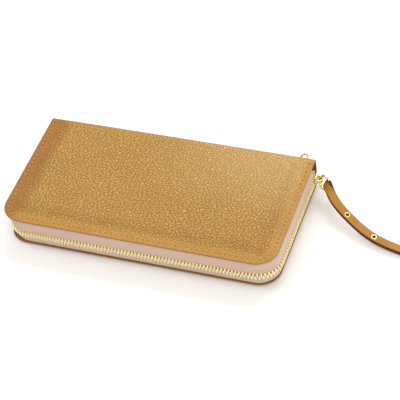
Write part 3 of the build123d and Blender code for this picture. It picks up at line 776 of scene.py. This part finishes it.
for cover, face, sign in (("front_cover", FRONT_FACE_Z, 1), ("back_cover", BACK_FACE_Z, -1)):
    stitching(cover + "_stitches", stitch_template(), THREAD, 0.5, face, sign, cover, 0.14)
    stitching(cover + "_needle_holes", hole_template(), HOLE_SHADOW, 0.0, face, sign, cover, 0.12)


# ---- tubes, ribbons and turned shapes


def smooth_path(knots, count):
    """A natural cubic through the knots: count evenly spaced points and their lengths."""
    knots = np.asarray(knots, float)
    t = travelled(knots)
    gap, size = np.diff(t), len(knots)
    system, right = np.eye(size), np.zeros((size, 3))
    for k in range(1, size - 1):
        system[k, k - 1:k + 2] = gap[k - 1], 2 * (gap[k - 1] + gap[k]), gap[k]
        right[k] = 6 * ((knots[k + 1] - knots[k]) / gap[k] - (knots[k] - knots[k - 1]) / gap[k - 1])
    second = np.linalg.solve(system, right)
    fine = np.linspace(0, t[-1], 900)
    k = np.clip(np.searchsorted(t, fine, side="right") - 1, 0, size - 2)
    a, b, h = [v[:, None] for v in ((t[k + 1] - fine) / gap[k], (fine - t[k]) / gap[k], gap[k])]
    curve = a * knots[k] + b * knots[k + 1]
    curve += ((a**3 - a) * second[k] + (b**3 - b) * second[k + 1]) * h * h / 6
    length = travelled(curve)
    even = np.linspace(0, length[-1], count)
    return np.stack([np.interp(even, length, curve[:, c]) for c in range(3)], 1), even


def directions(points, closed):
    if closed:
        return unit(np.roll(points, -1, 0) - np.roll(points, 1, 0))
    return unit(np.gradient(points, axis=0))


def sweep(points, across, section, closed):
    """Carries a section of (across, outward) along points; across is one direction, or one per point."""
    rings = []
    wides = np.broadcast_to(across, points.shape)
    for point, along, wide in zip(points, directions(points, closed), wides):
        wide = unit(wide - along * (wide @ along))
        normal = np.cross(along, wide)
        rings += [point + wide * w + normal * n for w, n in section]
    sides = len(section)
    if closed:
        return np.array(rings), grid_faces(sides, len(points), closed_columns=True, closed_rows=True)
    return np.array(rings), capped_faces(sides, len(points))


def ribbon(points, across, half_width, half_thick, closed=False):
    """A flat strip with rounded edges. Returns its shape, uvs and, per face, 1 where it is an edge."""
    points = np.asarray(points, float)
    round_off = half_thick * 0.75
    section = []
    for quarter, corner in enumerate(rounded_corners(2 * half_width, 2 * half_thick, round_off, 2)):
        section += corner
        if quarter in (0, 2):
            side = 1 if quarter == 0 else -1
            section += [(side * half_width * share, side * half_thick) for share in (0.5, 0.0, -0.5)]
    shape = sweep(points, across, section, closed)
    uvs = [(s, w + (2 * half_width if n < 0 else 0)) for s in travelled(points) for w, n in section]
    sides = len(section)
    is_edge = [abs(w) > half_width - round_off * 1.05 for w, _ in section]
    marks = [int(len(f) > 4 or (is_edge[f[0] % sides] and is_edge[f[1] % sides])) for f in shape[1]]
    return shape, uvs, marks


def joint_place(name):
    """A joint's position in millimetres and its axis."""
    found = next(j for j in frame["joints"] if j["name"] == name)
    return np.array(found["pos_m"]) / MM, unit(found["axis"])


# ---- slider and rings

SLIDER_LENGTH, SLIDER_WIDTH = 9.4, 7.4
SLIDER_GAP = 2.9
PLATE = 0.95
RING_WIRE, RING_HALF_BAR = 0.95, 4.1
SPINE_RING_WIRE = 0.82
RAIL_CLEARANCE = 0.45


def slider_mesh():
    """Two shield-shaped plates, flanged edges and a neck; x to the mouth, y across, z outward."""
    half, wide, inner = SLIDER_LENGTH / 2, SLIDER_WIDTH / 2, SLIDER_GAP / 2
    shares = [(-1.0, 0.50), (-0.93, 0.68), (-0.25, 0.80), (0.30, 0.98), (0.78, 1.0), (0.96, 0.80),
              (1.0, 0.45)]
    side = [(half * x, wide * y) for x, y in shares]
    outline = side + [(x, -y) for x, y in side[::-1]]
    rail = np.array(rounded_outline(SLIDER_LENGTH * 0.62, PLATE * 0.8, PLATE * 0.3))
    rail_y = wide - PLATE * 0.75
    parts = []
    for sign in (-1, 1):
        low, high = sorted((sign * inner, sign * (inner + PLATE)))
        parts.append(bevelled_plate(outline, low, high, PLATE * 0.35, 3))
        low, high = sorted((sign * (inner + 0.1), sign * RAIL_CLEARANCE))
        for edge in (-1, 1):
            parts.append(bevelled_plate(rail + (0, edge * rail_y), low, high, 0.12))
    neck = circle(0.9, 12) + (half * 0.78, 0)
    parts.append(bevelled_plate(neck, -inner - 0.2, inner + 0.2, 0.08))
    return merge(parts)


def bridge_mesh(base, height, span, width, bar):
    """The arch on a slider: a rounded band standing on two feet."""
    half = (span + bar) / 2
    top = base + height
    path = [(-half, base - 0.35), (-half, base + height * 0.45), (-half * 0.86, base + height * 0.86),
            (-half * 0.5, top + bar * 0.42), (0, top + bar * 0.55)]
    path += [(-x, z) for x, z in path[-2::-1]]
    points, _ = smooth_path([(x, 0, z) for x, z in path], 33)
    return ribbon(points, (0, 1, 0), width / 2, bar / 2)[0]


def d_ring(pivot, out, bar, reach, half_bar, wire):
    """Wire bent to a bow through the pivot and a straight bar, with softened corners."""
    count, rounding = 84, 5
    radius = (reach**2 + half_bar**2) / (2 * reach)
    turn = acos(1 - reach / radius)
    bow, straight = np.linspace(-turn, turn, count), np.linspace(1, -1, count // 2)[1:-1]
    loop = [pivot + radius * (out * (1 - cos(t)) + bar * sin(t)) for t in bow]
    loop = np.array(loop + [pivot + out * reach + bar * half_bar * t for t in straight])
    for _ in range(rounding):
        loop = (np.roll(loop, 1, 0) + 2 * loop + np.roll(loop, -1, 0)) / 4
    return sweep(loop, np.cross(out, bar), circle(wire, 14), True)


slider_middle = sum(box_mm("zip_slider_body")) / 2
SLIDER_AXES = ((0, 1, 0), (0, 0, 1), (1, 0, 0))
casting = placed(slider_mesh(), slider_middle, SLIDER_AXES)
add_modifier(hardware("zip_slider_casting", casting, "zip_slider", "zip_slider_body"), "WEIGHTED_NORMAL")
arch = placed(bridge_mesh(base=2.25, height=2.6, span=3.6, width=3.0, bar=1.0), slider_middle, SLIDER_AXES)
hardware("zip_slider_arch", arch, "zip_slider", "zip_slider_bridge")

ring_pivot, _ = joint_place("slider_ring_turn")
bar_middle, bar_line = joint_place("strap_turn")
ring_way = bar_middle - ring_pivot
ring_reach = np.linalg.norm(ring_way)
ring_shape = d_ring(ring_pivot, unit(ring_way), bar_line, ring_reach, RING_HALF_BAR, RING_WIRE)
hardware("slider_d_ring_wire", ring_shape, "slider_ring", "slider_d_ring")

# The small ring on the spine and the leather tab that holds it
SPINE_RING_REACH, SPINE_RING_HALF_BAR = 4.2, 1.9
SPINE_RING_LEAN = radians(50)
spine_bar, _ = joint_place("spine_ring_turn")
spine_out = np.array([0.0, cos(SPINE_RING_LEAN), sin(SPINE_RING_LEAN)])
far_side = spine_bar + spine_out * SPINE_RING_REACH
spine_shape = d_ring(far_side, -spine_out, X_AXIS, SPINE_RING_REACH, SPINE_RING_HALF_BAR, SPINE_RING_WIRE)
hardware("spine_ring_wire", spine_shape, "spine_ring", "spine_ring")


def spine_tab():
    """A strip sewn to the spine that goes round the small ring's bar and back."""
    x, bar_y, bar_z = spine_bar
    foot, radius = bar_z - 8.0, 1.15
    path = [(x, SPINE_Y + 0.45, foot), (x, SPINE_Y + 0.5, foot + 4.2)]
    for t in np.linspace(3.9, -1.2, 14):
        path.append((x, bar_y + radius * cos(t), bar_z + radius * sin(t)))
    path += [(x, SPINE_Y + 1.7, foot + 4.6), (x, SPINE_Y + 1.45, foot + 0.2)]
    shape, uvs, marks = ribbon(smooth_path(path, 60)[0], X_AXIS, half_width=1.1, half_thick=0.42)
    make_piece("spine_tab_leather", shape, [STRAP_LEATHER, EDGE_PAINT], "spine",
               "spine_ring_tab", uvs, marks)


spine_tab()


# ---- wrist strap

STRAP_KNOTS = [tuple(bar_middle), (115.3, 27.2, 9.9), (129.5, 15.4, 6.9), (146.2, 5.8, 4.1),
               (166.3, 0.3, 2.3), (200.0, -3.0, 1.6), (238.0, 1.0, 1.6)]
STRAP_TWIST = 9.0
LEG_HALF_THICK = 0.60
LEG_HALF_WIDTH = 3.0
LEG_OFFSET = 0.78
BAR_FOLD = 1.52
FAR_FOLD = 0.95
FIRST_EYELET = 29.3
EYELET_PITCH = 25.0
EYELET_HOLE = 1.46
FOLD_STEPS = 9

strap_line, strap_length = smooth_path(STRAP_KNOTS, 130)
strap_along = directions(strap_line, False)
strap_total = strap_length[-1]
level = unit(np.cross((0, 0, 1.0), strap_along))
twist = np.clip(strap_length / STRAP_TWIST, 0, 1)[:, None]
strap_across = bar_line * (1 - twist) + level * twist
strap_across -= strap_along * np.sum(strap_across * strap_along, axis=1, keepdims=True)
strap_across = unit(strap_across)
strap_normal = np.cross(strap_along, strap_across)
strap_normal *= np.sign(strap_normal[-1][2])
leg_offset = LEG_OFFSET + (BAR_FOLD - LEG_OFFSET) * np.exp(-(strap_length / 3.5) ** 2)
leg_offset += (FAR_FOLD - LEG_OFFSET) * np.exp(-((strap_total - strap_length) / 5.0) ** 2)
upper_leg = strap_line + strap_normal * leg_offset[:, None]
lower_leg = strap_line - strap_normal * leg_offset[:, None]


def fold(centre, outward, normal, radius):
    """Half a turn round an end of the strap, from the upper leg to the lower."""
    angles = np.linspace(pi / 2, -pi / 2, FOLD_STEPS + 2)[1:-1]
    return [centre + radius * (cos(t) * outward + sin(t) * normal) for t in angles]


def strap_band():
    """The strap as one closed strip: upper leg, far fold, lower leg and the fold round the ring's bar."""
    far_fold = fold(strap_line[-1], strap_along[-1], strap_normal[-1], FAR_FOLD)
    bar_fold = fold(strap_line[0], -strap_along[0], strap_normal[0], BAR_FOLD)[::-1]
    band = np.vstack([upper_leg, far_fold, lower_leg[::-1], bar_fold])
    far_across, bar_across = [np.tile(strap_across[k], (FOLD_STEPS, 1)) for k in (-1, 0)]
    across = np.vstack([strap_across, far_across, strap_across[::-1], bar_across])
    shape, uvs, marks = ribbon(band, across, LEG_HALF_WIDTH, LEG_HALF_THICK, closed=True)
    return make_piece("wrist_strap_leather", shape, [STRAP_LEATHER, EDGE_PAINT],
                      uvs=uvs, face_materials=marks)


def at_eyelets(shape):
    """A copy of a shape at each eyelet in the upper leg: x along, y across and z outward."""
    nearest = [int(np.argmin(np.abs(strap_length - distance)))
               for distance in np.arange(FIRST_EYELET, strap_total - 15.0, EYELET_PITCH)]
    return merge([placed(shape, upper_leg[k], (strap_along[k], strap_across[k], strap_normal[k]))
                  for k in nearest])


def punch_holes(piece):
    """Cuts a hole through the upper leg at each eyelet."""
    punch = bevelled_plate(circle(EYELET_HOLE, 24), -0.68, 1.5, 0.01, 1)
    cutter = make_piece("eyelet_cutter", at_eyelets(punch), [EDGE_PAINT])
    add_modifier(piece, "BOOLEAN", operation="DIFFERENCE", solver="EXACT", object=cutter)
    cut = bpy.data.meshes.new_from_object(evaluated(piece))
    piece.modifiers.clear()
    piece.data = cut
    bpy.data.objects.remove(cutter)


def eyelet_ring():
    """An eyelet's section turned about z."""
    sides = 28
    section = [(1.22, -0.5), (1.22, 0.60), (1.34, 0.78), (1.58, 0.88), (1.82, 0.80), (1.98, 0.60),
               (1.95, 0.54), (1.50, 0.54), (1.44, 0.44), (1.44, -0.5)]
    points = [(r * x, r * y, z) for x, y in circle(1.0, sides) for r, z in section]
    return np.array(points), grid_faces(len(section), sides, closed_columns=True, closed_rows=True)


wrist_strap = strap_band()
punch_holes(wrist_strap)
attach(wrist_strap, "wrist_strap")
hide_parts("wrist_strap")
hardware("strap_eyelet_rings", at_eyelets(eyelet_ring()), "wrist_strap", "strap_eyelets")


# ---- inside of the wallet

SHEET_SHARES = np.array([1.0, 0.9985, 0.996, 0.985, 0.93, 0.8, 0.6, 0.35, 0.1])
LEVEL = ((1, 0, 0), (0, 1, 0), (0, 0, 1))
UPRIGHT = ((1, 0, 0), (0, 0, 1), (0, -1, 0))
INNER_BACK_Y = SPINE_Y - 2.8
SPINE_SHEET_HEIGHT = 17.4
POCKET_COLUMNS = (-43.0, 43.0)
POCKET_WIDTH = 84.0
POCKET_MOUTHS = (24.0, 14.0, 4.0, -6.0)
POCKET_FOOT = -42.0
POCKET_STEP = 0.55


def soft_sheet(outline, half_thick, puff=0.0):
    """A thin closed sheet with rounded rims over an outline, fuller in the middle by puff."""
    loop = np.array(outline, float)
    rounding = np.sqrt(1 - np.clip(1 - (1 - SHEET_SHARES) / 0.004, 0, 1) ** 2)
    heights = half_thick * rounding + puff * (1 - SHEET_SHARES**6)
    top = [np.column_stack([loop * share, np.full(len(loop), z)])
           for share, z in zip(SHEET_SHARES, heights)]
    rings = top[::-1] + [ring * (1, 1, -1) for ring in top[1:]]
    return np.vstack(rings), capped_faces(len(loop), len(rings))


def inner_sheet(name, node, body, low, high, corner, half_thick, material):
    """A sheet that lies flat midway between two corners of its box and stands for one CAD node."""
    length, width, _ = np.subtract(high, low)
    sheet = soft_sheet(rounded_outline(length, width, corner, 7), half_thick)
    make_piece(name, placed(sheet, np.add(high, low) / 2, LEVEL), [material], body, node)


def cover_sheet(name, node, body, inset, back_y, z, corner, half_thick, material):
    """An inner sheet as large as the cover less an inset."""
    low, high = (inset - HALF_WIDTH, FRONT_Y + inset, z), (HALF_WIDTH - inset, back_y, z)
    inner_sheet(name, node, body, low, high, corner, half_thick, material)


def card_pockets(side, body, face_z, up):
    """Two columns of card pockets with rolled mouths, and the thread that holds them."""
    points, faces = stitch_template()
    thread = points * (0.9, 0.8, 0.8), faces
    parts, threads = [], []
    for column in POCKET_COLUMNS:
        for index, mouth in enumerate(POCKET_MOUTHS):
            z = face_z - up * (3.2 + POCKET_STEP * index)
            length = mouth - POCKET_FOOT
            sheet = soft_sheet(rounded_outline(POCKET_WIDTH, length, 6.0, 6), 0.25, 0.06)
            parts.append(placed(sheet, (column, mouth - length / 2, z), LEVEL))
            mouth_line = [(column + x, mouth - 1.1, z) for x in np.linspace(-38, 38, 24)]
            parts.append(ribbon(mouth_line, (0, 1, 0), half_width=1.25, half_thick=0.42)[0])
            for x in np.arange(column - 37, column + 37, POCKET_STITCH_PITCH):
                threads.append(at_place(thread, (x, mouth - 3.0, 0.0, 1.0, 0.0), z - up * 0.30, -up))
    node = side + "_card_slots"
    make_piece(side + "_card_pockets", merge(parts), [INNER_LEATHER], body, node)
    make_piece(side + "_pocket_thread", merge(threads), [THREAD], body)


for side, face_z, up in (("front", FRONT_FACE_Z, 1), ("back", BACK_FACE_Z, -1)):
    cover = side + "_cover"
    cover_sheet(side + "_lining_cloth", cover + "_lining", cover, inset=4.0, back_y=INNER_BACK_Y + 0.4,
                z=face_z - up * 2.0, corner=11.0, half_thick=0.25, material=LINING)
    cover_sheet(side + "_panel_leather", side + "_card_panel", cover, inset=5.5, back_y=INNER_BACK_Y - 0.2,
                z=face_z - up * 2.6, corner=9.5, half_thick=0.3, material=INNER_LEATHER)
    card_pockets(side, cover, face_z, up)
    divider = side + "_divider"
    low, high = box_mm(divider)
    inner_sheet(divider + "_sheet", divider, divider, low, high, corner=8.0, half_thick=0.35,
                material=INNER_LEATHER)

spine_sheet = soft_sheet(rounded_outline(2 * HALF_WIDTH - 6, SPINE_SHEET_HEIGHT, 2.0), 0.25)
spine_sheet = placed(spine_sheet, (0, SPINE_Y - 1.95, MIDDLE_Z), UPRIGHT)
make_piece("spine_lining_cloth", spine_sheet, [LINING], "spine", "spine_lining")

GUSSET_ROWS, GUSSET_COLUMNS = 7, 14
GUSSET_X = HALF_WIDTH - 8.6
GUSSET_SPREAD = {-1: 1.2, 1: 3.6}
GUSSET_HEIGHT = 8.1
GUSSET_FRONT = 20.0


def gusset_half(side, up, node):
    """Half of a folded gusset: from a cover to the fold that stays with the spine."""
    sheet = []
    for u in np.linspace(0, 1, GUSSET_ROWS):
        bow = sin(pi * u)
        front = GUSSET_FRONT - 13.0 * u
        for v in np.linspace(0, 1, GUSSET_COLUMNS):
            ripple = 0.18 * sin(9 * v + 2 * u) * bow
            x = side * (GUSSET_X + GUSSET_SPREAD[side] * u - 0.5 * bow + ripple)
            sheet.append((x, front + v * (INNER_BACK_Y - front), MIDDLE_Z + up * GUSSET_HEIGHT * u))
    name = ("right" if side > 0 else "left") + ("_upper" if up > 0 else "_lower") + "_gusset_fold"
    shape = sheet, grid_faces(GUSSET_COLUMNS, GUSSET_ROWS)
    half = make_piece(name, shape, [GUSSET_LEATHER], solid=False)
    thicken(half, 0.6, 0.0)
    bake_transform(half)
    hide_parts(node)


for side, node in ((-1, "left_gusset"), (1, "right_gusset")):
    for up, cover in ((1, "front_cover"), (-1, "back_cover")):
        gusset_half(side, up, node)


# ---- coin pocket

pocket_low, pocket_high = box_mm("coin_pocket")
COIN_ZIP_Y = sum(box_mm("coin_zip_tapes"))[1] / 2
COIN_TOOTH_PITCH = 2.0
COIN_TOOTH_SCALE = 0.78


def coin_bag():
    """A soft bag, sewn down at its sides and back and held open by its zip."""
    columns, rows = 60, 26
    points, held = [], []
    for y in np.linspace(pocket_low[1] + 0.2, pocket_high[1], rows):
        ring, pins = [], []
        for x in np.linspace(pocket_low[0], pocket_high[0], columns):
            to_side = min(x - pocket_low[0], pocket_high[0] - x)
            body = smoothstep(to_side / 9.0) * smoothstep((pocket_high[1] - y) / 14.0)
            ripple = 0.10 * sin(0.21 * x + 0.13 * y) * sin(0.17 * y)
            ring.append((x, y, 0.45 + (2.65 + ripple) * body))
            free = min(to_side, pocket_high[1] - y, y - pocket_low[1]) - 1.5
            pins.append(1 - smoothstep(free / 3.0))
        held += pins + pins[::-1]
        points += [(x, y, MIDDLE_Z + h) for x, y, h in ring]
        points += [(x, y, MIDDLE_Z - h) for x, y, h in ring[::-1]]
    around = 2 * columns
    faces = grid_faces(around, rows, closed_columns=True)
    start, end = (rows - 1) * around, rows * around - 1
    faces += [(start + k, start + k + 1, end - 1 - k, end - k) for k in range(columns - 1)]
    bag = make_piece("coin_pocket_bag", (points, faces), [INNER_LEATHER])
    settle_cloth(bag, held, pressure=0.5, frames=14, cap=0.45)
    add_modifier(bag, "SOLIDIFY", thickness=0.5 * MM, offset=-1.0)
    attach(bag, "spine")
    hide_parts("coin_pocket")


def coin_zip():
    """The coin pocket's two tapes and two rows of teeth."""
    along = np.linspace(pocket_low[0] + 1.5, pocket_high[0] - 1.5, 60)
    first_x = box_mm("coin_zip_teeth")[0][0] + 0.5
    points, faces = tooth_template()
    tooth = points * COIN_TOOTH_SCALE, faces
    tapes, teeth = [], []
    for sign in (-1, 1):
        line = [(x, COIN_ZIP_Y, MIDDLE_Z + sign * 1.95) for x in along]
        tapes.append(ribbon(line, (0, 0, 1), half_width=1.05, half_thick=0.22))
        for x in first_x + (1 + sign) * COIN_TOOTH_PITCH / 4 + COIN_TOOTH_PITCH * np.arange(73):
            place = (x, COIN_ZIP_Y, 0.0, -1.0, 0.0)
            teeth.append(at_place(tooth, place, MIDDLE_Z + sign * 2.1, -sign))
    make_piece("coin_zip_weave", merge([tape[0] for tape in tapes]), [TAPE], "spine",
               "coin_zip_tapes", tapes[0][1] + tapes[1][1])
    make_piece("coin_cast_teeth", merge(teeth), [TOOTH_GOLD], "spine", "coin_zip_teeth")


coin_bag()
coin_zip()

for node in ("coin_zip_slider", "coin_zip_pull"):
    fitting = frame["nodes"][node]
    fitting.data.materials.clear()
    fitting.data.materials.append(GOLD)
    add_modifier(fitting, "BEVEL", width=0.12 * MM, segments=2, limit_method="ANGLE")


# ---- zip stops


def staple(name, node, body, side, z, height, depth):
    """A metal stop squeezed over the turned end of the zip tape."""
    turn, radius = 0.5, 2.0
    nx, ny = side * cos(turn), sin(turn)
    x = side * (HALF_WIDTH + CHAIN_OUTSET - radius) + radius * nx
    block = bevelled_plate(rounded_outline(depth, 1.3, 0.35, 3), -height / 2, height / 2, 0.3, 3)
    points, faces = placed(block, (x, TAPE_END_Y + radius * ny, z), ((nx, ny, 0), (-ny, nx, 0), (0, 0, 1)))
    hardware(name, (tuck(points, CHAIN_TUCK), faces), body, node)


staple("upper_end_stop", "upper_top_stop", "front_cover", 1, MIDDLE_Z + 1.7, height=2.0, depth=2.1)
staple("lower_end_stop", "lower_top_stop", "back_cover", 1, MIDDLE_Z - 1.7, height=2.0, depth=2.1)
staple("start_stop", "bottom_stop", "back_cover", -1, MIDDLE_Z, height=5.0, depth=2.4)


# ---- camera, light and floor

CAMERA_AZIMUTH = radians(26.90)
CAMERA_ELEVATION = radians(46.60)
CAMERA_ROLL = radians(-10.52)
CAMERA_TARGET_M = Vector((0.02712, 0.00686, 0.010))
CAMERA_DISTANCE_M = 1.0495
CAMERA_LENS = 139.7
FLOOR_Z_M = -0.0002


def fitted_camera():
    """A long lens from the front right, turned a little about its own axis."""
    aim = Euler((pi / 2 - CAMERA_ELEVATION, 0, CAMERA_AZIMUTH)).to_matrix()
    place = Matrix.Translation(CAMERA_TARGET_M + aim.col[2] * CAMERA_DISTANCE_M)
    camera = new_object("camera", bpy.data.cameras.new("camera"))
    give(camera.data, lens=CAMERA_LENS, sensor_width=36.0, clip_start=0.05, clip_end=20)
    camera.matrix_world = place @ aim.to_4x4() @ Matrix.Rotation(CAMERA_ROLL, 4, "Z")
    bpy.context.scene.camera = camera


def soft_light(name, location, target, size, power, color=(1, 1, 1)):
    """A rectangular lamp; places are in metres."""
    data = bpy.data.lights.new(name, "AREA")
    give(data, shape="RECTANGLE", size=size[0], size_y=size[1], energy=power, color=color)
    aim = (Vector(target) - Vector(location)).to_track_quat("-Z", "Y")
    give(new_object(name, data), location=location, rotation_mode="QUATERNION", rotation_quaternion=aim)


def paper_floor():
    """A wide sheet of pale paper just under the wallet, in metres."""
    side, cells = 3.0, 12
    lines = np.linspace(-side, side, cells + 1)
    mesh = bpy.data.meshes.new("floor")
    spots = [(x, y, FLOOR_Z_M) for y in lines for x in lines]
    mesh.from_pydata(spots, [], grid_faces(cells + 1, cells + 1))
    paper = Shader("pale_floor_paper", roughness=0.8, specular=0.1)
    fibre = paper.noise(paper.place(), 0.05, 4.0)
    mesh.materials.append(paper.finish(paper.mix(fibre, (0.83, 0.825, 0.815, 1), (0.80, 0.795, 0.785, 1))))
    new_object("floor", mesh)


def studio():
    paper_floor()
    world = bpy.data.worlds.new("studio")
    world.use_nodes = True
    background = world.node_tree.nodes["Background"]
    background.inputs["Color"].default_value = (1, 1, 1, 1)
    background.inputs["Strength"].default_value = 0.81
    bpy.context.scene.world = world
    soft_light("key", (0.05, 0.85, 0.80), (0, 0, 0), size=(0.9, 0.6), power=8.5)
    soft_light("side", (-0.75, -0.10, 0.90), (0, 0, 0), size=(0.6, 0.6), power=4.0)
    soft_light("fill", (0.75, -0.55, 0.60), (0.05, 0, 0), size=(0.9, 0.9), power=5.0,
               color=(1.0, 0.98, 0.95))
    bpy.context.scene.view_settings.view_transform = "Standard"


fitted_camera()
studio()
